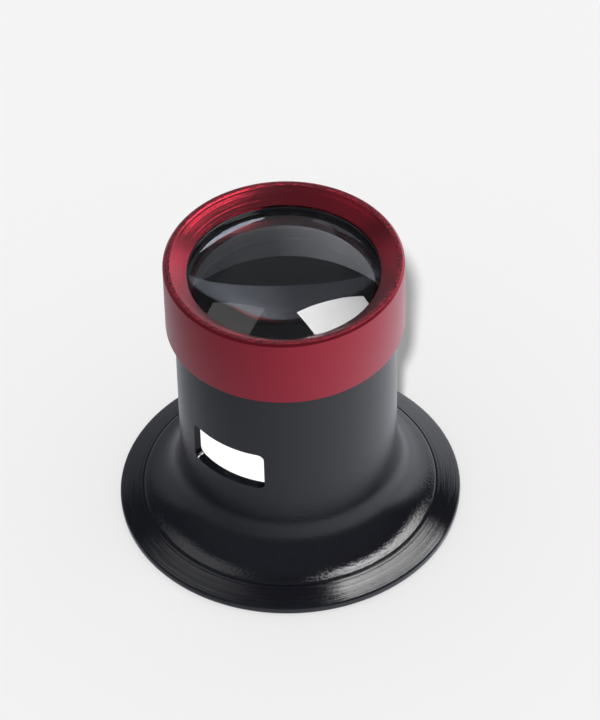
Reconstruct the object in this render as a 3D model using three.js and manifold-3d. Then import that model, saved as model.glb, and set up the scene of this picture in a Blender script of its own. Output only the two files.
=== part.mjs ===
// Screw-top eye loupe: a turned aluminium eyecup, two lenses in its head, and an anodised ring that
// screws down over them. Millimetres, +Z up, origin at the middle of the brim's resting face.

import * as THREE from 'three';
import { mergeVertices } from 'three/addons/utils/BufferGeometryUtils.js';
import Module from 'manifold-3d';

const wasm = await Module();
wasm.setup();

// ---------- driving dimensions ----------

const HEIGHT = 35;              // brim to top land
const STEPS = 60;               // facets round every turned piece, and steps in one turn of thread

// Eyecup: brim, flare and barrel in one piece
const BRIM_R = 19;
const BRIM_EDGE = 0.9;          // thickness of the brim at its outer edge
const BRIM_BREAK = 0.3;         // both corners of that edge
const REST_INNER_R = 17.2;      // inner edge of the flat that the brim rests on
const FLARE_SLOPE = 20;         // degrees down from level, outside the fillet
const FLARE_FILLET = 5.5;       // concave radius between barrel and flare
const FILLET_TOP_Z = 7.3;       // where the straight barrel begins
const GROOVE_R = 16.3;
const GROOVE_DEPTH = 0.15;
const GROOVE_WIDTH = 0.32;
const BARREL_R = 12;
const WALL = 1;
const BORE_R = BARREL_R - WALL;

// Lens seat and lens stack, from the ledge upwards
const LEDGE_BORE_R = 9.8;
const LEDGE_THICKNESS = 1.2;
const LEDGE_Z = 25.15;
const POCKET_R = 10.8;          // bore that holds the lenses
const RIM_Z = 32.2;             // top of the barrel
const FIT = 0.03;               // gap between stacked pieces
const WASHER_THICKNESS = 0.4;
const LENS_R = 10.7;
const LOWER_EDGE = 1.4;         // edge thickness of the lower lens
const LOWER_RADIUS = 25;        // its convex upper face
const SPACER_HEIGHT = 4.08;     // at its outside
const SPACER_BORE_R = 9.9;
const UPPER_EDGE = 1.3;
const UPPER_RADIUS = 24.5;      // its convex upper face

// Red ring and the black ring under its lip
const RING_R = 12.95;
const RING_HEIGHT = 8.5;
const RING_CHAMFER = 0.25;
const RING_BOTTOM_Z = HEIGHT - RING_HEIGHT;
const SKIRT_BORE_R = 12.12;
const LEAD_IN_Z = 26.93;        // where the skirt's bore narrows, at 45 degrees, to the thread
const CONE_TOP_R = 12.2;
const CONE_BOTTOM_R = 10.45;
const CONE_BOTTOM_Z = 33.6;
const LIP = 0.32;               // thickness of the ring's lip at its inner edge
const CLAMP_R = 11.3;
const CLAMP_BORE_R = 10.35;
const CLAMP_BREAK = 0.1;        // top edge of its bore

// Thread: single start, right hand
const PITCH = 1;
const THREAD_BOTTOM_Z = 27.2;
const THREAD_RELIEF = 0.3;      // plain length turned to the root below the thread
const THREAD_RUN_OUT = 0.8;     // plain length above it
const THREAD_OVERLAP = 0.2;     // how far its bar is sunk into the barrel
const MALE_CREST_R = 11.95;
const MALE_ROOT_R = 11.45;
const CLEARANCE = 0.14;         // between the two threads, square to the axis
const CREST_WIDTH = 0.2;
const ROOT_WIDTH = 0.62;

// Window in the barrel, on the -Y side
const WINDOW_WIDTH = 9.24;
const WINDOW_BOTTOM_Z = 12.25;
const WINDOW_TOP_Z = 17.28;
const WINDOW_CORNER = 0.7;

// ---------- materials ----------

const blackAnodised = new THREE.MeshStandardMaterial({ color: 0x1c1c20, roughness: 0.35, metalness: 0.6 });
const redAnodised = new THREE.MeshStandardMaterial({ color: 0x9c1c2c, roughness: 0.4, metalness: 0.8 });
const glossBlack = new THREE.MeshStandardMaterial({ color: 0x0c0c0e, roughness: 0.2, metalness: 0 });
const glass = new THREE.MeshStandardMaterial({ color: 0xe6eef0, roughness: 0.02, metalness: 0, opacity: 0.35,
  transparent: true });
const fibre = new THREE.MeshStandardMaterial({ color: 0x202022, roughness: 0.9, metalness: 0 });

// ---------- helpers ----------

// Points on an arc from angle a to angle b, in degrees, both ends included.
function arc(centreR, centreZ, radius, a, b, count) {
  const points = [];
  for (let i = 0; i <= count; i += 1) {
    const t = THREE.MathUtils.degToRad(a + (b - a) * i / count);
    points.push([centreR + radius * Math.cos(t), centreZ + radius * Math.sin(t)]);
  }
  return points;
}

// A solid of revolution round Z from [radius, height] points that run with the material on their left.
function turned(profile) {
  const closed = profile[0][0] > 0 ? [...profile, profile[0]] : profile;
  const geometry = new THREE.LatheGeometry(closed.map(([r, z]) => new THREE.Vector2(r, z)), STEPS);
  geometry.rotateX(Math.PI / 2);
  return geometry;
}

function toManifold(geometry) {
  const bare = geometry.clone();
  bare.deleteAttribute('normal');
  bare.deleteAttribute('uv');
  const merged = mergeVertices(bare, 1e-4);
  return new wasm.Manifold(new wasm.Mesh({
    numProp: 3,
    vertProperties: new Float32Array(merged.attributes.position.array),
    triVerts: new Uint32Array(merged.index.array),
  }));
}

function toGeometry(manifold) {
  const mesh = manifold.getMesh();
  const geometry = new THREE.BufferGeometry();
  geometry.setAttribute('position', new THREE.BufferAttribute(mesh.vertProperties, 3));
  geometry.setIndex(new THREE.BufferAttribute(mesh.triVerts, 1));
  geometry.computeVertexNormals();
  return geometry;
}

// A helical bar whose section is a list of [radius, height] corners, counter-clockwise with radius to
// the right. It climbs one pitch in each turn, and its two ends are flat.
function helicalBar(section, bottomZ, turns) {
  const corners = section.length;
  const rows = Math.round(turns * STEPS);
  const positions = [];
  const indices = [];
  for (let row = 0; row <= rows; row += 1) {
    const angle = 2 * Math.PI * row / STEPS;
    const climb = bottomZ + PITCH * row / STEPS;
    for (const [r, z] of section) {
      positions.push(r * Math.cos(angle), r * Math.sin(angle), climb + z);
    }
  }
  for (let row = 0; row < rows; row += 1) {
    for (let i = 0; i < corners; i += 1) {
      const a = row * corners + i;
      const b = row * corners + (i + 1) % corners;
      indices.push(a, b + corners, b, a, a + corners, b + corners);
    }
  }
  const last = rows * corners;
  for (let i = 1; i < corners - 1; i += 1) {
    indices.push(0, i, i + 1);
    indices.push(last, last + i + 1, last + i);
  }
  const geometry = new THREE.BufferGeometry();
  geometry.setAttribute('position', new THREE.Float32BufferAttribute(positions, 3));
  geometry.setIndex(indices);
  return geometry;
}

// The thread's section between two radii, grown by gap on each flank. Its flanks run straight through
// the root and crest radii.
function threadSection(innerR, outerR, gap) {
  const flank = (ROOT_WIDTH - CREST_WIDTH) / 2 / (MALE_CREST_R - MALE_ROOT_R);
  const halfWidth = (r) => CREST_WIDTH / 2 + flank * (MALE_CREST_R - r) + gap;
  const [inner, outer] = [halfWidth(innerR), halfWidth(outerR)];
  return [[innerR, -inner], [outerR, -outer], [outerR, outer], [innerR, inner]];
}

// Half of a domed lens face as [radius, height] points, from its edge at edgeZ up to the axis.
function lensFace(radius, edgeZ, count) {
  const spread = Math.asin(LENS_R / radius);
  const centreZ = edgeZ - radius * Math.cos(spread);
  const points = arc(0, centreZ, radius, 90 - THREE.MathUtils.radToDeg(spread), 90, count);
  points[count][0] = 0;
  return points;
}

// How far a face of this radius rises from its edge to the place at radius r.
function riseFromEdge(radius, r) {
  return Math.sqrt(radius * radius - r * r) - Math.sqrt(radius * radius - LENS_R * LENS_R);
}

function named(name, geometry, material) {
  const mesh = new THREE.Mesh(geometry, material);
  mesh.name = name;
  return mesh;
}

// ---------- heights of the lens stack ----------

const washerBottomZ = LEDGE_Z + FIT;
const lowerBottomZ = washerBottomZ + WASHER_THICKNESS + FIT;
const lowerTopZ = lowerBottomZ + LOWER_EDGE;
const spacerBottomZ = lowerTopZ + FIT;
const spacerTopZ = spacerBottomZ + SPACER_HEIGHT;
const upperBottomZ = spacerTopZ + FIT;
const upperTopZ = upperBottomZ + UPPER_EDGE;
const lipUndersideZ = CONE_BOTTOM_Z - LIP;

// ---------- pieces ----------

// The barrel's wall swells into the flare round a concave fillet, inside and out about one centre.
function eyecup() {
  const slope = THREE.MathUtils.degToRad(FLARE_SLOPE);
  const filletR = BARREL_R + FLARE_FILLET;
  const outerFillet = arc(filletR, FILLET_TOP_Z, FLARE_FILLET, 270 - FLARE_SLOPE, 180, 7);
  const innerFillet = arc(filletR, FILLET_TOP_Z, FLARE_FILLET + WALL, 180, 270 - FLARE_SLOPE, 7);
  const [footR, footZ] = outerFillet[0];
  const flareZ = (r) => footZ - (r - footR) * Math.tan(slope);
  const outside = [
    [REST_INNER_R, 0],
    [BRIM_R - BRIM_BREAK, 0],
    [BRIM_R, BRIM_BREAK],
    [BRIM_R, BRIM_EDGE - BRIM_BREAK],
    [BRIM_R - BRIM_BREAK, BRIM_EDGE],
    [GROOVE_R + GROOVE_WIDTH / 2, flareZ(GROOVE_R + GROOVE_WIDTH / 2)],
    [GROOVE_R, flareZ(GROOVE_R) - GROOVE_DEPTH],
    [GROOVE_R - GROOVE_WIDTH / 2, flareZ(GROOVE_R - GROOVE_WIDTH / 2)],
    ...outerFillet,
    [BARREL_R, THREAD_BOTTOM_Z - THREAD_RELIEF],
    [MALE_ROOT_R, THREAD_BOTTOM_Z - THREAD_RELIEF],
    [MALE_ROOT_R, RIM_Z],
  ];
  const inside = [
    [POCKET_R, RIM_Z],
    [POCKET_R, LEDGE_Z],
    [LEDGE_BORE_R, LEDGE_Z],
    [LEDGE_BORE_R, LEDGE_Z - LEDGE_THICKNESS],
    [BORE_R, LEDGE_Z - LEDGE_THICKNESS - (BORE_R - LEDGE_BORE_R)],
    ...innerFillet,
  ];
  const body = toManifold(turned([...outside, ...inside]));

  const turns = (RIM_Z - THREAD_BOTTOM_Z - THREAD_RUN_OUT) / PITCH;
  const section = threadSection(MALE_ROOT_R - THREAD_OVERLAP, MALE_CREST_R, 0);
  const thread = toManifold(helicalBar(section, THREAD_BOTTOM_Z + ROOT_WIDTH / 2, turns));

  const outline = new THREE.Shape();
  const [left, right, c] = [-WINDOW_WIDTH / 2, WINDOW_WIDTH / 2, WINDOW_CORNER];
  outline.moveTo(left + c, WINDOW_BOTTOM_Z);
  outline.lineTo(right - c, WINDOW_BOTTOM_Z);
  outline.absarc(right - c, WINDOW_BOTTOM_Z + c, c, -Math.PI / 2, 0);
  outline.absarc(right - c, WINDOW_TOP_Z - c, c, 0, Math.PI / 2);
  outline.absarc(left + c, WINDOW_TOP_Z - c, c, Math.PI / 2, Math.PI);
  outline.absarc(left + c, WINDOW_BOTTOM_Z + c, c, Math.PI, 1.5 * Math.PI);
  const extrusion = { depth: BARREL_R, bevelEnabled: false, curveSegments: 4 };
  const cutter = new THREE.ExtrudeGeometry(outline, extrusion);
  cutter.rotateX(Math.PI / 2);
  cutter.translate(0, -BORE_R / 2, 0);

  return toGeometry(body.add(thread).subtract(toManifold(cutter)));
}

function bezelRing() {
  const profile = [
    [SKIRT_BORE_R, RING_BOTTOM_Z],
    [RING_R - RING_CHAMFER, RING_BOTTOM_Z],
    [RING_R, RING_BOTTOM_Z + RING_CHAMFER],
    [RING_R, HEIGHT - RING_CHAMFER],
    [RING_R - RING_CHAMFER, HEIGHT],
    [CONE_TOP_R, HEIGHT],
    [CONE_BOTTOM_R, CONE_BOTTOM_Z],
    [CONE_BOTTOM_R, lipUndersideZ],
    [MALE_ROOT_R + CLEARANCE, lipUndersideZ],
    [MALE_ROOT_R + CLEARANCE, LEAD_IN_Z + SKIRT_BORE_R - MALE_ROOT_R - CLEARANCE],
    [SKIRT_BORE_R, LEAD_IN_Z],
  ];
  const body = toManifold(turned(profile));

  const turns = (RIM_Z - THREAD_BOTTOM_Z + ROOT_WIDTH) / PITCH;
  const section = threadSection(MALE_ROOT_R, MALE_CREST_R + CLEARANCE, CLEARANCE);
  const startZ = THREAD_BOTTOM_Z + ROOT_WIDTH / 2 - PITCH;
  const channel = toManifold(helicalBar(section, startZ, turns + 1));
  return toGeometry(body.subtract(channel));
}

// Its underside follows the upper lens, and its top meets the ring's lip.
function clampRing() {
  return turned([
    [CLAMP_BORE_R, upperTopZ + riseFromEdge(UPPER_RADIUS, CLAMP_BORE_R) + FIT],
    [LENS_R, upperTopZ + FIT],
    [CLAMP_R, upperTopZ + FIT],
    [CLAMP_R, lipUndersideZ - FIT],
    [CLAMP_BORE_R + CLAMP_BREAK, lipUndersideZ - FIT],
    [CLAMP_BORE_R, lipUndersideZ - FIT - CLAMP_BREAK],
  ]);
}

// A lens that is flat below and bulges above.
function planoConvex(bottomZ, edgeZ, radius) {
  return turned([[0, bottomZ], [LENS_R, bottomZ], ...lensFace(radius, edgeZ, 8)]);
}

// A plain tube: its lower end is coned to the lower lens's bulge, and its top is flat.
function lensSpacer() {
  return turned([
    [SPACER_BORE_R, spacerBottomZ + riseFromEdge(LOWER_RADIUS, SPACER_BORE_R)],
    [LENS_R, spacerBottomZ],
    [LENS_R, spacerTopZ],
    [SPACER_BORE_R, spacerTopZ],
  ]);
}

function seatWasher() {
  return turned([
    [LEDGE_BORE_R, washerBottomZ],
    [LENS_R, washerBottomZ],
    [LENS_R, washerBottomZ + WASHER_THICKNESS],
    [LEDGE_BORE_R, washerBottomZ + WASHER_THICKNESS],
  ]);
}

// ---------- assembly ----------

const group = new THREE.Group();
group.add(named('eyecup', eyecup(), blackAnodised));
group.add(named('seat_washer', seatWasher(), fibre));
group.add(named('lower_lens', planoConvex(lowerBottomZ, lowerTopZ, LOWER_RADIUS), glass));
group.add(named('lens_spacer', lensSpacer(), glossBlack));
group.add(named('upper_lens', planoConvex(upperBottomZ, upperTopZ, UPPER_RADIUS), glass));
group.add(named('clamp_ring', clampRing(), glossBlack));
group.add(named('bezel_ring', bezelRing(), redAnodised));

export default group;
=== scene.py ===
import math

import bpy
import bmesh
import numpy as np
from mathutils import Matrix, Vector


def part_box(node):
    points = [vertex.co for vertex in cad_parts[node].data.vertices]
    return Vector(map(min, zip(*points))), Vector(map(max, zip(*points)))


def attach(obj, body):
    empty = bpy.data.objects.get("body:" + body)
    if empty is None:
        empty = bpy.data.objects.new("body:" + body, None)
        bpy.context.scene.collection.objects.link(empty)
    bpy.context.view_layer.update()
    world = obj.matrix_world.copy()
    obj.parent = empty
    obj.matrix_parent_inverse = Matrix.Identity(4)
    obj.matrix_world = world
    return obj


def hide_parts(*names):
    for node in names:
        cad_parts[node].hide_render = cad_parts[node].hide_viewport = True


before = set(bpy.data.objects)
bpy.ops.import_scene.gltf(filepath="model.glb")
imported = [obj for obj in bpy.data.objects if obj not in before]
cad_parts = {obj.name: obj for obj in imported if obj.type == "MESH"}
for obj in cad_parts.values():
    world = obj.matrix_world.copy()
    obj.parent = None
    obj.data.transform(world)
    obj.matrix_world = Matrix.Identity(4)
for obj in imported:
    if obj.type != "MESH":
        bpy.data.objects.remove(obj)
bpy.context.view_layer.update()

bl_info = {
    "name": "Screw-top eye loupe",
    "version": (1, 0, 0),
    "blender": (4, 5, 0),
    "location": "3D View > Sidebar > Loupe",
    "description": "Dresses the frame of a turned, anodised eye loupe in its finished surfaces",
    "category": "Object",
}

MM = 0.001
STEPS = 320                     # facets round each turned piece
EYECUP_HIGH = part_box("eyecup")[1]
BEZEL_LOW, BEZEL_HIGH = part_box("bezel_ring")
CLAMP_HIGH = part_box("clamp_ring")[1]
UPPER_LOW, UPPER_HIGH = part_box("upper_lens")
LOWER_LOW, LOWER_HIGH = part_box("lower_lens")
SPACER_LOW, SPACER_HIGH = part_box("lens_spacer")
WASHER_LOW, WASHER_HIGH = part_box("seat_washer")

# Sizes that stay fixed, in millimetres.
FIT = 0.03                      # gap between stacked pieces
PITCH = 1                       # of the ring's thread
SHARP = 30                      # degrees: edges sharper than this stay crisp
REST_INNER = 17.2               # inner edge of the flat that the brim rests on
FLARE_OUTER = 18.45             # radius where the flare meets the brim's edge
GROOVE_HALF = 0.16              # half the width of the groove in the flare
GROOVE_DEPTH = 0.06
BLEND = 0.3                     # straight run of barrel between the fillet and what follows
SHOULDER_Z = 26.9               # where the barrel steps in to the thread
NECK = 11.45                    # radius at the root of the eyecup's thread
POCKET = 10.8                   # bore that holds the lenses
LEDGE_BORE = 9.8                # bore of the ledge and of the washer
LEDGE_THICKNESS = 1.2
LENS = 10.7                     # outside of the lenses, the spacer and the washer
LENS_BREAK = 0.08               # ground corner at the foot of a lens
SPACER_BORE = 9.9               # also where the lacquer under a lens begins
CLAMP_OUTER = 11.3
CLAMP_BORE = 10.35
SKIRT_BORE = 12.12
ROOT = 12.09                    # radius at the root of the ring's thread
LEAD_IN = 0.03                  # from the skirt's bore to that root, out and up
CHAMFER = 0.25                  # round the ring's top edge


# ---------------------------------------------------------------- settings


def length(name, description, default):
    """A setting that is a length in metres."""
    return bpy.props.FloatProperty(
        name=name, description=description, default=default, unit="LENGTH", precision=5
    )


def colour(name, description, default):
    """A setting that is a linear RGB colour."""
    return bpy.props.FloatVectorProperty(
        name=name, description=description, default=default, subtype="COLOR", size=3, min=0, max=1
    )


def linear(hex_colour):
    """Linear RGB of an sRGB hex colour: each channel is divided by 12.92 near black, and elsewhere
    is ((c + 0.055) / 1.055) to the power 2.4."""
    c = np.array([int(hex_colour[i : i + 2], 16) for i in (1, 3, 5)]) / 255
    return tuple(np.where(c <= 0.04045, c / 12.92, ((c + 0.055) / 1.055) ** 2.4).tolist())


class LoupeEyecupSettings(bpy.types.PropertyGroup):
    brim_radius: length("Brim radius", "Outside of the brim that rests in the eye socket", EYECUP_HIGH.x)
    brim_edge: length("Brim edge", "Thickness of the brim at its outer edge", 0.9 * MM)
    barrel_radius: length("Barrel radius", "Outside of the barrel", 12 * MM)
    wall: length("Wall", "Thickness of the barrel's wall", 1 * MM)
    flare_slope: bpy.props.FloatProperty(
        name="Flare slope", description="Fall of the flare from level", subtype="ANGLE",
        default=math.radians(20)
    )
    fillet: length("Fillet", "Concave radius between barrel and flare", 5.5 * MM)
    fillet_top: length("Fillet top", "Height where the straight barrel begins", 7.3 * MM)
    groove_radius: length("Groove radius", "Radius of the line turned in the flare", 16.3 * MM)
    window_width: length("Window width", "Width of the slot window", 9.24 * MM)
    window_bottom: length("Window bottom", "Height of the window's lower edge", 12.25 * MM)
    window_top: length("Window top", "Height of the window's upper edge", 17.28 * MM)
    window_corner: length("Window corner", "Radius of the window's corners", 0.7 * MM)
    colour: colour("Anodising", "Black dye of the eyecup", linear("#0c0d13"))


class LoupeBezelSettings(bpy.types.PropertyGroup):
    radius: length("Ring radius", "Outside of the red ring", BEZEL_HIGH.x)
    cone_top: length("Cone top radius", "Radius of the cone at the top land", 12.2 * MM)
    cone_bottom: length("Cone bottom radius", "Radius of the cone at the lip", 10.45 * MM)
    cone_floor: length("Cone floor", "Height of the cone's lower edge", 33.6 * MM)
    lip: length("Lip", "Thickness of the lip at its inner edge", 0.32 * MM)
    colour: colour("Anodising", "Red dye of the ring", linear("#96142b"))


class LoupeOpticsSettings(bpy.types.PropertyGroup):
    upper_curve: length("Upper curve", "Radius of the upper lens's domed face", 24.5 * MM)
    lower_curve: length("Lower curve", "Radius of the lower lens's domed face", 25 * MM)
    index: bpy.props.FloatProperty(
        name="Glass index", description="Refractive index of the crown glass", default=1.52
    )
    black: colour("Black parts", "Colour of the clamp ring and the spacer", linear("#141418"))


class LoupeStageSettings(bpy.types.PropertyGroup):
    floor: colour("Floor", "Paper that the loupe stands on", linear("#f2f2f2"))
    key: bpy.props.FloatProperty(name="Key", description="Strength of the key light", default=2.6)
    dome: bpy.props.FloatProperty(
        name="Dome", description="Strength of the even light all round", default=0.42
    )
    softbox: bpy.props.FloatProperty(
        name="Softbox", description="Brightness of the overhead softbox", default=18
    )
    wall: bpy.props.FloatProperty(
        name="Wall", description="Brightness of the lit wall behind", default=0.8
    )


# ---------------------------------------------------------------- shapes


def rounded(corners):
    """Profile through [radius, height, rounding] corners, in millimetres. Each corner with a rounding
    gives way to an arc of that radius, tangent to the lines on either side, in steps of 15 degrees or
    less. A corner without one stays sharp."""
    pts = [np.array(c[:2], float) for c in corners]
    out = []
    for i, corner in enumerate(corners):
        radius = corner[2] if len(corner) > 2 else 0
        here = pts[i]
        if not radius:
            out.append(here)
            continue
        a = pts[i - 1] - here
        b = pts[(i + 1) % len(pts)] - here
        a, b = a / np.linalg.norm(a), b / np.linalg.norm(b)
        half = math.acos(np.clip(a @ b, -1, 1)) / 2
        middle = here + (a + b) / np.linalg.norm(a + b) * radius / math.sin(half)
        first, last = here + a * radius / math.tan(half), here + b * radius / math.tan(half)
        t0 = math.atan2(*(first - middle)[::-1])
        turn = math.atan2(*(last - middle)[::-1]) - t0
        turn = (turn + math.pi) % (2 * math.pi) - math.pi
        t = t0 + np.linspace(0, turn, max(3, int(abs(turn) / math.radians(15)) + 2))
        out.extend(middle + radius * np.stack([np.cos(t), np.sin(t)], 1))
    return np.array(out)


def arc(centre, radius, start, end, count):
    """Points on a circle round centre, from angle start to angle end in degrees, evenly spaced."""
    t = np.radians(np.linspace(start, end, count))
    return np.array(centre) + radius * np.stack([np.cos(t), np.sin(t)], 1)


def mesh_object(name, verts, faces, sharp=SHARP):
    """A mesh object from vertices in millimetres. Doubles are merged, which closes the poles, and
    edges sharper than the angle given stay crisp."""
    mesh = bpy.data.meshes.new(name)
    mesh.from_pydata((verts * MM).tolist(), [], faces)
    bm = bmesh.new()
    bm.from_mesh(mesh)
    bmesh.ops.remove_doubles(bm, verts=bm.verts, dist=1e-7)
    bm.to_mesh(mesh)
    bm.free()
    mesh.shade_smooth()
    mesh.set_sharp_from_angle(angle=math.radians(sharp))
    obj = bpy.data.objects.new(name, mesh)
    bpy.context.scene.collection.objects.link(obj)
    return obj


def turned(name, profile, sharp=SHARP):
    """Solid of revolution: vertex (i, j) is profile point i turned by 2 pi j / STEPS about Z. The
    profile runs with the material on its left, and the grid closes on itself both ways."""
    t = 2 * np.pi * np.arange(STEPS) / STEPS
    r, z = profile[:, 0], profile[:, 1]
    verts = np.stack([np.outer(r, np.cos(t)), np.outer(r, np.sin(t)), np.outer(z, np.ones(STEPS))], 2)
    i, j = np.meshgrid(np.arange(len(profile)), np.arange(STEPS), indexing="ij")
    i2, j2 = (i + 1) % len(profile), (j + 1) % STEPS
    quads = np.stack([i * STEPS + j, i * STEPS + j2, i2 * STEPS + j2, i2 * STEPS + j], 2)
    return mesh_object(name, verts.reshape(-1, 3), quads.reshape(-1, 4).tolist(), sharp)


def helix(name, section, bottom, turns, pitch):
    """Thread: a closed section of [radius, height] corners carried up a helix of that pitch, its two
    ends capped. Row k stands at 2 pi k / STEPS round the axis and k / STEPS of a pitch up."""
    rows = int(turns * STEPS)
    t = 2 * np.pi * np.arange(rows + 1) / STEPS
    r, z = section[:, 0], section[:, 1]
    rise = bottom + pitch * t / (2 * np.pi)
    verts = np.stack([np.outer(np.cos(t), r), np.outer(np.sin(t), r), rise[:, None] + z[None]], 2)
    n = len(section)
    k, c = np.meshgrid(np.arange(rows), np.arange(n), indexing="ij")
    c2 = (c + 1) % n
    quads = np.stack([k * n + c, (k + 1) * n + c, (k + 1) * n + c2, k * n + c2], 2)
    caps = [list(range(n)), [rows * n + c for c in range(n)][::-1]]
    return mesh_object(name, verts.reshape(-1, 3), quads.reshape(-1, 4).tolist() + caps)


def rounded_slot(width, bottom, top, corner, depth):
    """Block that cuts the window: a rectangle with quarter-circle corners in X and Z, carried along Y
    between the two depths."""
    half = width / 2 - corner
    outline = np.concatenate([
        arc((half, bottom + corner), corner, -90, 0, 9),
        arc((half, top - corner), corner, 0, 90, 9),
        arc((-half, top - corner), corner, 90, 180, 9),
        arc((-half, bottom + corner), corner, 180, 270, 9),
    ])
    n = len(outline)
    verts = np.concatenate([np.insert(outline, 1, y, axis=1) for y in depth])
    j = np.arange(n)
    sides = np.stack([j, j + n, (j + 1) % n + n, (j + 1) % n], 1).tolist()
    return mesh_object("slot_cutter", verts, sides + [list(range(n)), list(range(n, 2 * n))[::-1]])


def dome(radius, edge_radius, edge_height, count=40):
    """Profile of a domed lens face: a circle of that radius round a point on the axis, from the lens's
    edge up to the axis, evenly spaced in angle."""
    spread = math.degrees(math.asin(edge_radius / radius))
    centre = edge_height - radius * math.cos(math.radians(spread))
    points = arc((0, centre), radius, 90 - spread, 90, count)
    points[-1, 0] = 0
    return points


def settle(obj, material, body, slot, *nodes):
    """Gives a piece its material, ties it to its body and hides the CAD nodes that it stands for."""
    obj.data.materials.append(material)
    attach(obj, body)
    if nodes:
        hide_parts(*nodes)
    return obj


# ---------------------------------------------------------------- materials


def add(tree, kind, inputs=None, **settings):
    """Adds a node with its settings. inputs maps a socket to a number, a colour or another socket."""
    new = tree.nodes.new(kind)
    for key, value in settings.items():
        setattr(new, key, value)
    for socket, value in (inputs or {}).items():
        if isinstance(value, bpy.types.NodeSocket):
            tree.links.new(value, new.inputs[socket])
        else:
            new.inputs[socket].default_value = value
    return new


def new_material(name):
    """An empty material of that name, and its node tree."""
    material = bpy.data.materials.new(name)
    material.use_nodes = True
    material.node_tree.nodes.clear()
    return material, material.node_tree


def radius_from_axis(tree):
    """Object coordinates, their distance from the Z axis, and their height, as three sockets."""
    where = add(tree, "ShaderNodeTexCoord").outputs["Object"]
    split = add(tree, "ShaderNodeSeparateXYZ", {0: where})
    flat = add(tree, "ShaderNodeCombineXYZ", {0: split.outputs[0], 1: split.outputs[1]})
    radius = add(tree, "ShaderNodeVectorMath", {0: flat.outputs[0]}, operation="LENGTH")
    return where, radius.outputs["Value"], split.outputs[2]


def black_anodised(dye):
    """Turned aluminium, black anodised: a hard clear oxide over black dye. The barrel is satin and the
    flare glossy. Outside the groove the tool left fine rings that draw highlights out into streaks, and
    the etch before anodising leaves a fine grain that sparkles at the edge of a highlight."""
    material, tree = new_material("anodised aluminium, black, turned")
    where, radius, height = radius_from_axis(tree)
    run = add(tree, "ShaderNodeMath", {0: radius, 1: height}, operation="SUBTRACT").outputs[0]
    # Feed marks about 0.3 mm apart, laid along the profile: coarser than real ones, so that they show.
    lines = add(tree, "ShaderNodeTexNoise", {"W": run, "Scale": 3500, "Detail": 3, "Roughness": 0.7},
                noise_dimensions="1D")
    # Etch grain about 0.25 mm across: coarser than the real one, so that it shows.
    grain = add(tree, "ShaderNodeTexNoise", {"Vector": where, "Scale": 4000, "Detail": 2,
                                             "Roughness": 0.6})
    # Satin on the barrel, glossy from 13.6 mm outwards.
    gloss = add(tree, "ShaderNodeMapRange", {0: radius, 1: 0.0122, 2: 0.0136, 3: 0.26, 4: 0.07})
    # The etch grain is strong inside the groove, at 16.3 mm, and the feed marks are strong outside it.
    polish = add(tree, "ShaderNodeMapRange", {0: radius, 1: 0.0162, 2: 0.0165, 3: 1, 4: 0.1}).outputs[0]
    turning = add(tree, "ShaderNodeMapRange", {0: radius, 1: 0.0162, 2: 0.0165, 3: 0.1, 4: 1}).outputs[0]
    # The bore is plain: no marks inside 11.9 mm.
    outer = add(tree, "ShaderNodeMapRange", {0: radius, 1: 0.0118, 2: 0.0119, 3: 0, 4: 1}).outputs[0]
    polish = add(tree, "ShaderNodeMath", {0: polish, 1: outer}, operation="MULTIPLY").outputs[0]
    turning = add(tree, "ShaderNodeMath", {0: turning, 1: outer}, operation="MULTIPLY").outputs[0]
    ridges = add(tree, "ShaderNodeBump", {"Strength": turning, "Distance": 0.00003,
                                          "Height": lines.outputs[0]})
    bumps = add(tree, "ShaderNodeBump", {"Strength": polish, "Distance": 0.000025,
                                         "Height": grain.outputs[0], "Normal": ridges.outputs[0]})
    # The dye takes a little unevenly, in patches about 0.5 mm across.
    patches = add(tree, "ShaderNodeTexNoise", {"Vector": where, "Scale": 2000, "Detail": 3})
    depth = add(tree, "ShaderNodeMapRange", {0: patches.outputs[0], 1: 0.3, 2: 0.7, 3: 0.8, 4: 1.2})
    tone = add(tree, "ShaderNodeVectorMath", {0: dye, 3: depth.outputs[0]}, operation="SCALE")
    shader = add(tree, "ShaderNodeBsdfPrincipled", {
        "Base Color": tone.outputs[0], "Roughness": gloss.outputs[0], "IOR": 1.45,
        "Normal": bumps.outputs[0]})
    add(tree, "ShaderNodeOutputMaterial", {0: shader.outputs[0]})
    return material


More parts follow.
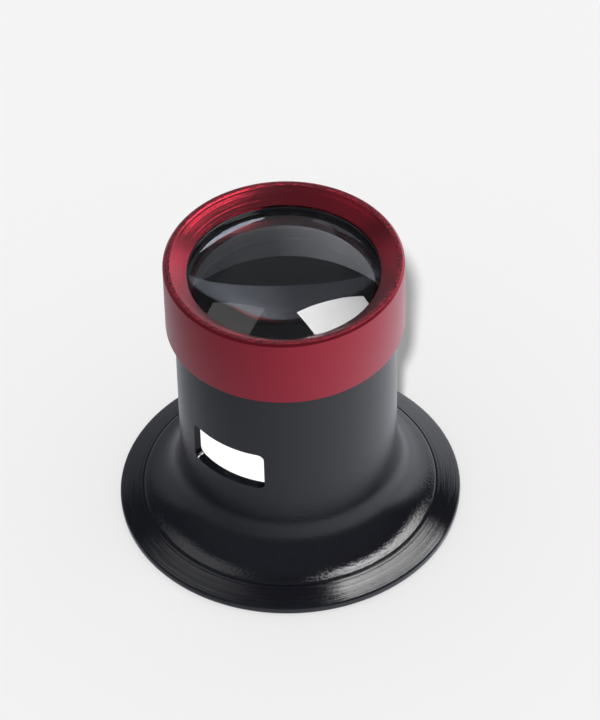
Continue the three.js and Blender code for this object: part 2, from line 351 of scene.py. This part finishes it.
def red_anodised(dye):
    """Turned aluminium, red anodised: clear dyed oxide over bright metal, so it shines deep red and
    pales where it is seen edge on. The skirt is satin from blasting, the land glitters where the cut
    broke the grain open, and the cone keeps fine tool marks, which draw the light out into streaks."""
    material, tree = new_material("anodised aluminium, red, satin and turned")
    where, radius, _ = radius_from_axis(tree)
    # Tool marks about 0.17 mm apart on the cone: coarser than real ones, so that they show.
    lines = add(tree, "ShaderNodeTexNoise", {"W": radius, "Scale": 6000, "Detail": 3, "Roughness": 0.75},
                noise_dimensions="1D")
    # Blasted grain about 0.15 mm across: coarser than the real one, so that it shows.
    grain = add(tree, "ShaderNodeTexNoise", {"Vector": where, "Scale": 7000, "Detail": 3, "Roughness": 0.7})
    # The cone ends at 12.2 mm, the skirt begins at 12.7 mm, and the land is what lies between.
    cone = add(tree, "ShaderNodeMapRange", {0: radius, 1: 0.01214, 2: 0.0122, 3: 1, 4: 0}).outputs[0]
    skirt = add(tree, "ShaderNodeMapRange", {0: radius, 1: 0.01268, 2: 0.01272, 3: 0, 4: 1}).outputs[0]
    land = add(tree, "ShaderNodeMath", {0: 1.0, 1: cone}, operation="SUBTRACT").outputs[0]
    land = add(tree, "ShaderNodeMath", {0: land, 1: skirt}, operation="SUBTRACT",
               use_clamp=True).outputs[0]
    ridges = add(tree, "ShaderNodeBump", {"Strength": cone, "Distance": 0.00003,
                                          "Height": lines.outputs[0]})
    satin = add(tree, "ShaderNodeMapRange", {0: land, 1: 0, 2: 1, 3: 0.25, 4: 1})
    bumps = add(tree, "ShaderNodeBump", {"Strength": satin.outputs[0], "Distance": 0.00003,
                                         "Height": grain.outputs[0], "Normal": ridges.outputs[0]})
    rough = add(tree, "ShaderNodeMapRange", {0: skirt, 1: 0, 2: 1, 3: 0.15, 4: 0.42})
    # Broken grain on the land, in bright and dark specks about 0.15 mm across: coarser than real ones.
    broken = add(tree, "ShaderNodeTexNoise", {"Vector": where, "Scale": 6500, "Detail": 1})
    speck = add(tree, "ShaderNodeMapRange", {0: broken.outputs[0], 1: 0.4, 2: 0.6, 3: 0.2, 4: 2.1})
    depth = add(tree, "ShaderNodeMix", {0: land, 2: 1.0, 3: speck.outputs[0]}).outputs[0]
    tone = add(tree, "ShaderNodeVectorMath", {0: dye, 3: depth}, operation="SCALE")
    shader = add(tree, "ShaderNodeBsdfPrincipled", {
        "Base Color": tone.outputs[0], "Metallic": 1, "Roughness": rough.outputs[0],
        "Coat Weight": 0.6, "Coat Roughness": 0.38, "Coat IOR": 1.45, "Normal": bumps.outputs[0],
        "Coat Normal": bumps.outputs[0]})
    add(tree, "ShaderNodeOutputMaterial", {0: shader.outputs[0]})
    return material


def optical_glass(name, index, film):
    """Crown glass, ground and polished. Bare, a face mirrors about 4% of the light; film is the tint
    and the share of that which an evaporated coating leaves."""
    material, tree = new_material(name)
    shader = add(tree, "ShaderNodeBsdfPrincipled", {
        "Base Color": (0.98, 0.985, 0.99, 1), "Roughness": 0, "IOR": index, "Transmission Weight": 1,
        "Specular Tint": (*film, 1)})
    add(tree, "ShaderNodeOutputMaterial", {0: shader.outputs[0]})
    return material


def edge_black():
    """Blackening lacquer, brushed on the ground edge of a lens: matt, over frosted glass, with the
    fine pits of the grinding about 0.1 mm across."""
    material, tree = new_material("lacquer, black, on ground glass")
    where = add(tree, "ShaderNodeTexCoord").outputs["Object"]
    pits = add(tree, "ShaderNodeTexNoise", {"Vector": where, "Scale": 10000, "Detail": 2})
    tone = add(tree, "ShaderNodeMix", {0: pits.outputs[0], 6: (*linear("#0e0e10"), 1),
                                       7: (*linear("#131315"), 1)}, data_type="RGBA")
    shader = add(tree, "ShaderNodeBsdfPrincipled", {"Base Color": tone.outputs[2], "Roughness": 0.6})
    add(tree, "ShaderNodeOutputMaterial", {0: shader.outputs[0]})
    return material


def black_moulding(tint):
    """ABS, moulded black and glossy: a faint unevenness from the mould breaks its highlights."""
    material, tree = new_material("ABS, moulded, gloss black")
    where = add(tree, "ShaderNodeTexCoord").outputs["Object"]
    # Mould unevenness about 1 mm across.
    waves = add(tree, "ShaderNodeTexNoise", {"Vector": where, "Scale": 1000, "Detail": 2})
    bumps = add(tree, "ShaderNodeBump", {"Strength": 0.3, "Distance": 0.000003, "Height": waves.outputs[0]})
    shader = add(tree, "ShaderNodeBsdfPrincipled", {
        "Base Color": (*tint, 1), "Roughness": 0.06, "IOR": 1.53, "Normal": bumps.outputs[0]})
    add(tree, "ShaderNodeOutputMaterial", {0: shader.outputs[0]})
    return material


def fibre():
    """Vulcanised fibre, stamped and dyed black: matt, with matted fibres about 0.3 mm long."""
    material, tree = new_material("vulcanised fibre, stamped, black")
    where = add(tree, "ShaderNodeTexCoord").outputs["Object"]
    mat = add(tree, "ShaderNodeTexNoise", {"Vector": where, "Scale": 3500, "Detail": 4,
                                           "Distortion": 1.5})
    tone = add(tree, "ShaderNodeMix", {0: mat.outputs[0], 6: (*linear("#18181a"), 1),
                                       7: (*linear("#1e1e20"), 1)}, data_type="RGBA")
    bumps = add(tree, "ShaderNodeBump", {"Strength": 0.4, "Distance": 0.00001, "Height": mat.outputs[0]})
    shader = add(tree, "ShaderNodeBsdfPrincipled", {
        "Base Color": tone.outputs[2], "Roughness": 0.85, "Normal": bumps.outputs[0]})
    add(tree, "ShaderNodeOutputMaterial", {0: shader.outputs[0]})
    return material


# ---------------------------------------------------------------- pieces


class LOUPE_OT_eyecup(bpy.types.Operator):
    """Builds the eyecup: brim, flare, barrel, lens pocket and window in one turned piece, with its thread"""

    bl_idname = "loupe.eyecup"
    bl_label = "Eyecup"

    def execute(self, context):
        s = context.scene.loupe_eyecup
        brim, edge = s.brim_radius / MM, s.brim_edge / MM
        barrel, wall = s.barrel_radius / MM, s.wall / MM
        fillet, fillet_top, groove = s.fillet / MM, s.fillet_top / MM, s.groove_radius / MM
        slope = math.degrees(s.flare_slope)
        centre = (barrel + fillet, fillet_top)
        outside = arc(centre, fillet, 270 - slope, 180, 28)
        inside = arc(centre, fillet + wall, 180, 270 - slope, 28)
        foot_r, foot_z = outside[0]

        def flare(r):
            """Height of the flare's straight slope at radius r."""
            return foot_z - (r - foot_r) * math.tan(s.flare_slope)

        top = EYECUP_HIGH.z / MM
        ledge, bore = WASHER_LOW.z / MM - FIT, barrel - wall
        profile = np.concatenate([
            rounded([
                [REST_INNER, 0, 0.1], [brim, 0, 0.3], [brim, edge, 0.25],
                [FLARE_OUTER, flare(FLARE_OUTER), 0],
                [groove + GROOVE_HALF, flare(groove + GROOVE_HALF), 0.04],
                [groove, flare(groove) - GROOVE_DEPTH, 0.05],
                [groove - GROOVE_HALF, flare(groove - GROOVE_HALF), 0.04],
                [foot_r + 0.05, flare(foot_r + 0.05)]]),
            outside,
            rounded([
                [barrel, fillet_top + BLEND], [barrel, SHOULDER_Z, 0.08], [NECK, SHOULDER_Z, 0.05],
                [NECK, top, 0.1], [POCKET, top, 0.1], [POCKET, ledge, 0.05], [LEDGE_BORE, ledge, 0.1],
                [LEDGE_BORE, ledge - LEDGE_THICKNESS, 0.1], [bore, ledge - 2 * LEDGE_THICKNESS, 0.1],
                [bore, fillet_top + BLEND]]),
            inside,
        ])
        shell = turned("eyecup_shell", profile)
        cutter = rounded_slot(s.window_width / MM, s.window_bottom / MM, s.window_top / MM,
                              s.window_corner / MM, (-16, -4))
        cut = shell.modifiers.new("window", "BOOLEAN")
        cut.operation, cut.solver, cut.object = "DIFFERENCE", "EXACT", cutter
        context.view_layer.update()
        evaluated = shell.evaluated_get(context.evaluated_depsgraph_get())
        finished = bpy.data.meshes.new_from_object(evaluated)
        shell.modifiers.clear()
        shell.data = finished
        finished.shade_smooth()
        finished.set_sharp_from_angle(angle=math.radians(SHARP))
        bpy.data.objects.remove(cutter)

        dark = black_anodised(s.colour)
        settle(shell, dark, "eyecup", "black_anodised", "eyecup")
        ridge = np.array([[11.3, -0.31], [11.95, -0.1], [11.95, 0.1], [11.3, 0.31]])
        thread = helix("eyecup_thread", ridge, 27.51, top - 28.0, PITCH)
        settle(thread, dark, "eyecup", "black_anodised")
        return {"FINISHED"}


class LOUPE_OT_bezel(bpy.types.Operator):
    """Builds the red ring: satin skirt, bright land, fine turned cone and thin lip, with its thread"""

    bl_idname = "loupe.bezel"
    bl_label = "Red ring"

    def execute(self, context):
        s = context.scene.loupe_bezel
        radius, top, bottom = s.radius / MM, BEZEL_HIGH.z / MM, BEZEL_LOW.z / MM
        cone_top, cone_bottom = s.cone_top / MM, s.cone_bottom / MM
        floor, lip = s.cone_floor / MM, s.lip / MM
        profile = rounded([
            [SKIRT_BORE, bottom, 0.08], [radius, bottom, 0.16],
            [radius, top - CHAMFER, 0.08], [radius - CHAMFER, top, 0.04], [cone_top, top, 0.06],
            [cone_bottom, floor, 0.05], [cone_bottom, floor - lip, 0.05], [ROOT, floor - lip, 0.05],
            [ROOT, 26.95], [SKIRT_BORE, 26.95 - LEAD_IN]])
        ring = turned("bezel_ring_shell", profile)
        red = red_anodised(s.colour)
        settle(ring, red, "bezel", "red_anodised", "bezel_ring")
        ridge = np.array([[11.6, -0.05], [12.11, -0.26], [12.11, 0.26], [11.6, 0.05]])
        thread = helix("bezel_thread", ridge, 28.01, 4, PITCH)
        settle(thread, red, "bezel", "red_anodised")
        return {"FINISHED"}


class LOUPE_OT_optics(bpy.types.Operator):
    """Builds the two lenses, the spacer between them, the washer under them and the clamp ring"""

    bl_idname = "loupe.optics"
    bl_label = "Lenses and their rings"

    def execute(self, context):
        s = context.scene.loupe_optics
        upper, lower = s.upper_curve / MM, s.lower_curve / MM
        bare = optical_glass("crown glass, polished", s.index, (1, 1, 1))
        filmed = optical_glass("crown glass, polished, single film", s.index, (0.7, 0.75, 0.9))
        # The lower lens has a broadband coating, so its mirror images are gone. A low index stands for
        # that, and it also takes away the lens's bending of light.
        coated = optical_glass("crown glass, polished, broadband coating", 1.04, (1, 1, 1))
        lacquer = edge_black()
        black = black_moulding(s.black)
        lens_r = UPPER_HIGH.x / MM

        def lens(name, node, curve, low, high, top, underside):
            """A flat underside, a domed top, and a ground and blackened edge that reaches in under the
            lens as far as the spacer's bore. Returns the height of the dome as a function of radius."""
            sag = curve - math.sqrt(curve**2 - lens_r**2)
            face = dome(curve, lens_r, high.z / MM - sag)
            bottom = low.z / MM
            foot = [[0, bottom], [SPACER_BORE, bottom], [lens_r - LENS_BREAK, bottom],
                    [lens_r, bottom + LENS_BREAK]]
            profile = np.concatenate([foot, face])
            obj = turned(name, profile, sharp=20)
            settle(obj, top, "eyecup", "optical_glass", node)
            obj.data.materials.append(underside)
            obj.data.materials.append(lacquer)
            count = len(obj.data.polygons)
            centre, normal = np.empty(count * 3), np.empty(count * 3)
            obj.data.polygons.foreach_get("center", centre)
            obj.data.polygons.foreach_get("normal", normal)
            centre, up = centre.reshape(-1, 3) / MM, normal.reshape(-1, 3)[:, 2]
            edge = (up < 0.5) & (np.hypot(centre[:, 0], centre[:, 1]) > SPACER_BORE)
            which = np.where(edge, 2, np.where(up < -0.5, 1, 0)).astype(np.int32)
            obj.data.polygons.foreach_set("material_index", which)
            return lambda r: high.z / MM - curve + math.sqrt(curve**2 - r**2)

        over = lens("upper_lens_glass", "upper_lens", upper, UPPER_LOW, UPPER_HIGH, bare, filmed)
        under = lens("lower_lens_glass", "lower_lens", lower, LOWER_LOW, LOWER_HIGH, coated, coated)

        low, high = SPACER_LOW.z / MM, SPACER_HIGH.z / MM
        spacer = turned("lens_spacer_tube", rounded([
            [SPACER_BORE, under(SPACER_BORE) + FIT, 0.05], [LENS, low, 0.03], [LENS, high, 0.1],
            [SPACER_BORE, high, 0.1]]))
        settle(spacer, black, "eyecup", "gloss_black", "lens_spacer")

        low, high = WASHER_LOW.z / MM, WASHER_HIGH.z / MM
        washer = turned("seat_washer_disc", rounded([
            [LEDGE_BORE, low, 0.05], [LENS, low, 0.05], [LENS, high, 0.05], [LEDGE_BORE, high, 0.05]]))
        settle(washer, fibre(), "eyecup", "fibre", "seat_washer")

        high = CLAMP_HIGH.z / MM
        clamp = turned("clamp_ring_band", rounded([
            [CLAMP_BORE, over(CLAMP_BORE) + FIT, 0.05], [LENS, over(LENS) + FIT],
            [CLAMP_OUTER, over(LENS) + FIT, 0.05], [CLAMP_OUTER, high, 0.08], [CLAMP_BORE, high, 0.1]]))
        settle(clamp, black, "clamp", "gloss_black", "clamp_ring")
        return {"FINISHED"}


class LOUPE_OT_stage(bpy.types.Operator):
    """Sets the pale floor, the soft studio light and the camera"""

    bl_idname = "loupe.stage"
    bl_label = "Stage"

    def execute(self, context):
        s = context.scene.loupe_stage
        scene = context.scene
        scene.view_settings.view_transform = "Standard"
        azimuth, elevation, roll = math.radians(35.8), math.radians(44.39), math.radians(-1.55)
        distance, aim_right, aim_height = 485.8 * MM, 1.463 * MM, 20.2 * MM
        right = Vector((math.cos(azimuth), math.sin(azimuth), 0))
        behind = Vector((-math.sin(azimuth), math.cos(azimuth), 0))
        back = -behind * math.cos(elevation) + Vector((0, 0, math.sin(elevation)))
        up = back.cross(right)

        camera = bpy.data.objects.new("camera", bpy.data.cameras.new("camera"))
        scene.collection.objects.link(camera)
        camera.data.lens = 223.05
        camera.data.sensor_width = 36
        camera.data.clip_start, camera.data.clip_end = 0.01, 20
        aim = right * aim_right + Vector((0, 0, aim_height))
        turned_right = right * math.cos(roll) + up * math.sin(roll)
        turned_up = up * math.cos(roll) - right * math.sin(roll)
        place = aim + back * distance
        camera.matrix_world = Matrix((
            (turned_right.x, turned_up.x, back.x, place.x),
            (turned_right.y, turned_up.y, back.y, place.y),
            (turned_right.z, turned_up.z, back.z, place.z),
            (0, 0, 0, 1)))
        scene.camera = camera

        def disc(name, radius, height, count):
            """A flat disc: its corners stand evenly round a circle of that radius."""
            t = 2 * np.pi * np.arange(count) / count
            rim = np.stack([radius * np.cos(t), radius * np.sin(t), np.full(count, height)], 1)
            return mesh_object(name, rim, [list(range(count))])

        # Floor: a broad disc of pale paper. It is left out of gloss, where the world's ground stands in.
        floor = disc("floor", 3000, -0.01, 96)
        paper, tree = new_material("paper, matt, pale grey")
        shader = add(tree, "ShaderNodeBsdfDiffuse", {"Color": (*s.floor, 1)})
        add(tree, "ShaderNodeOutputMaterial", {0: shader.outputs[0]})
        floor.data.materials.append(paper)
        floor.visible_glossy = False

        # Glowing patches under the open mouth, in place of the paper there: a painted bright glow as seen
        # through the window, where the paper lies in shade, and a dim painted glow as light for the bore.
        for name, glow, height, seen in (("bright_painted_glow", 1.1, 0.02, True), ("dim_painted_glow", 0.22, 0.03, False)):
            patch = disc(name, 15, height, 64)
            lit, tree = new_material(name.replace("_", " "))
            # Emission paints the light here: the patch glows though it is no lamp.
            shader = add(tree, "ShaderNodeEmission", {"Color": (1, 1, 1, 1), "Strength": glow})
            add(tree, "ShaderNodeOutputMaterial", {0: shader.outputs[0]})
            patch.data.materials.append(lit)
            patch.visible_camera = seen
            patch.visible_diffuse = patch.visible_glossy = patch.visible_transmission = not seen
            patch.visible_shadow = False

        def point(x, y, z):
            """A place given to the right of, behind and above the loupe as the camera stands."""
            return right * x + behind * y + Vector((0, 0, z))

        def panel(name, centre, along, width, depth, strength, falloff):
            """A level rectangular panel, hidden from the camera and from matt surfaces. Its brightness
            falls to the share falloff at its far end."""
            light = bpy.data.lights.new(name, "AREA")
            light.shape, light.size, light.size_y = "RECTANGLE", width, depth
            light.energy = strength * math.pi * width * depth
            light.use_nodes = True
            tree = light.node_tree
            tree.nodes.clear()
            spot = add(tree, "ShaderNodeNewGeometry").outputs["Parametric"]
            share = add(tree, "ShaderNodeSeparateXYZ", {0: spot}).outputs[0]
            fade = add(tree, "ShaderNodeMapRange", {0: share, 1: 0, 2: 1, 3: 1, 4: falloff})
            shader = add(tree, "ShaderNodeEmission", {1: fade.outputs[0]})
            add(tree, "ShaderNodeOutputLight", {0: shader.outputs[0]})
            obj = bpy.data.objects.new(name, light)
            across = Vector((0, 0, 1)).cross(along)
            obj.matrix_world = Matrix((
                (along.x, across.x, 0, centre.x),
                (along.y, across.y, 0, centre.y),
                (0, 0, 1, centre.z),
                (0, 0, 0, 1)))
            obj.visible_camera = obj.visible_diffuse = False
            scene.collection.objects.link(obj)

        # A long softbox overhead, to the right and behind, and a dim reflector to the left.
        panel("softbox", point(0.396, 0.27, 0.8), point(0.82, 0.572, 0).normalized(), 0.632, 0.23,
              s.softbox, 0.45)
        panel("reflector", point(-0.41, 0.2, 0.8), point(0.86, -0.51, 0).normalized(), 0.46, 0.34,
              s.softbox * 0.065, 1)

        # Key: a small distant light beside the camera, seen only on matt surfaces.
        light = bpy.data.lights.new("key", "SUN")
        light.energy, light.angle = s.key, math.radians(2.5)
        key = bpy.data.objects.new("key", light)
        key.rotation_euler = point(-0.07, -0.93, 1).to_track_quat("Z", "Y").to_euler()
        key.visible_glossy = False
        scene.collection.objects.link(key)

        # World: pale to the eye, even for matt surfaces, and in gloss a room with a lit wall behind, a
        # dark ceiling and a ground that brightens to the right.
        world = bpy.data.worlds.new("studio")
        scene.world = world
        world.use_nodes = True
        world.cycles.sampling_method = "NONE"
        tree = world.node_tree
        tree.nodes.clear()
        way = add(tree, "ShaderNodeTexCoord").outputs["Generated"]
        back_part, side_part = (
            add(tree, "ShaderNodeVectorMath", {0: way, 1: axis}, operation="DOT_PRODUCT").outputs["Value"]
            for axis in (behind, right))
        height = add(tree, "ShaderNodeSeparateXYZ", {0: way}).outputs[2]
        # The wall's top edge rises 1 for each 1.25 to the back.
        slope = add(tree, "ShaderNodeMath", {0: back_part, 1: 1.25}, operation="DIVIDE").outputs[0]
        on_wall = add(tree, "ShaderNodeMath", {0: height, 1: slope}, operation="LESS_THAN").outputs[0]
        fade = add(tree, "ShaderNodeMapRange", {0: side_part, 1: -0.05, 2: 0.28, 3: s.wall * 0.62,
                                                4: s.wall * 2})
        lit = add(tree, "ShaderNodeMath", {0: on_wall, 1: fade.outputs[0]}, operation="MULTIPLY").outputs[0]
        ceiling = add(tree, "ShaderNodeMapRange", {0: back_part, 1: -0.3, 2: 0.3, 3: 0.24,
                                                   4: 0.13}).outputs[0]
        gloss = add(tree, "ShaderNodeMath", {0: lit, 1: ceiling}, operation="MAXIMUM").outputs[0]
        below = add(tree, "ShaderNodeMath", {0: height, 1: 0.0}, operation="LESS_THAN").outputs[0]
        ground = add(tree, "ShaderNodeMapRange", {0: side_part, 1: -0.8, 2: 0.8, 3: 0.42, 4: 1.26}).outputs[0]
        gloss = add(tree, "ShaderNodeMix", {0: below, 2: gloss, 3: ground}).outputs[0]
        ray = add(tree, "ShaderNodeLightPath")
        seen = add(tree, "ShaderNodeMix", {0: ray.outputs["Is Camera Ray"], 2: gloss, 3: 0.888}).outputs[0]
        level = add(tree, "ShaderNodeMix", {0: ray.outputs["Is Diffuse Ray"], 2: seen, 3: s.dome}).outputs[0]
        # In gloss the room is a shade cool.
        cast = add(tree, "ShaderNodeMix", {0: ray.outputs["Is Glossy Ray"], 6: (1, 1, 1, 1),
                                           7: (0.96, 0.98, 1.06, 1)}, data_type="RGBA")
        shader = add(tree, "ShaderNodeBackground", {"Color": cast.outputs[2], "Strength": level})
        add(tree, "ShaderNodeOutputWorld", {0: shader.outputs[0]})
        return {"FINISHED"}


class LOUPE_PT_panel(bpy.types.Panel):
    """Lists the loupe's pieces and their settings"""

    bl_idname = "LOUPE_PT_panel"
    bl_label = "Eye loupe"
    bl_space_type = "VIEW_3D"
    bl_region_type = "UI"
    bl_category = "Loupe"

    def draw(self, context):
        for operator, group in PARTS:
            box = self.layout.box()
            box.operator(operator)
            settings = getattr(context.scene, group)
            for name in settings.__annotations__:
                box.prop(settings, name)


PARTS = (
    ("loupe.eyecup", "loupe_eyecup"),
    ("loupe.bezel", "loupe_bezel"),
    ("loupe.optics", "loupe_optics"),
    ("loupe.stage", "loupe_stage"),
)
SETTINGS = {
    "loupe_eyecup": LoupeEyecupSettings,
    "loupe_bezel": LoupeBezelSettings,
    "loupe_optics": LoupeOpticsSettings,
    "loupe_stage": LoupeStageSettings,
}
CLASSES = (
    *SETTINGS.values(), LOUPE_OT_eyecup, LOUPE_OT_bezel, LOUPE_OT_optics, LOUPE_OT_stage, LOUPE_PT_panel
)


def register():
    for cls in CLASSES:
        bpy.utils.register_class(cls)
    for name, cls in SETTINGS.items():
        setattr(bpy.types.Scene, name, bpy.props.PointerProperty(type=cls))


def unregister():
    for name in SETTINGS:
        delattr(bpy.types.Scene, name)
    for cls in reversed(CLASSES):
        bpy.utils.unregister_class(cls)


def main():
    """Builds every piece and the stage, in order."""
    register()
    bpy.ops.loupe.eyecup()
    bpy.ops.loupe.bezel()
    bpy.ops.loupe.optics()
    bpy.ops.loupe.stage()


if __name__ == "__main__":
    main()
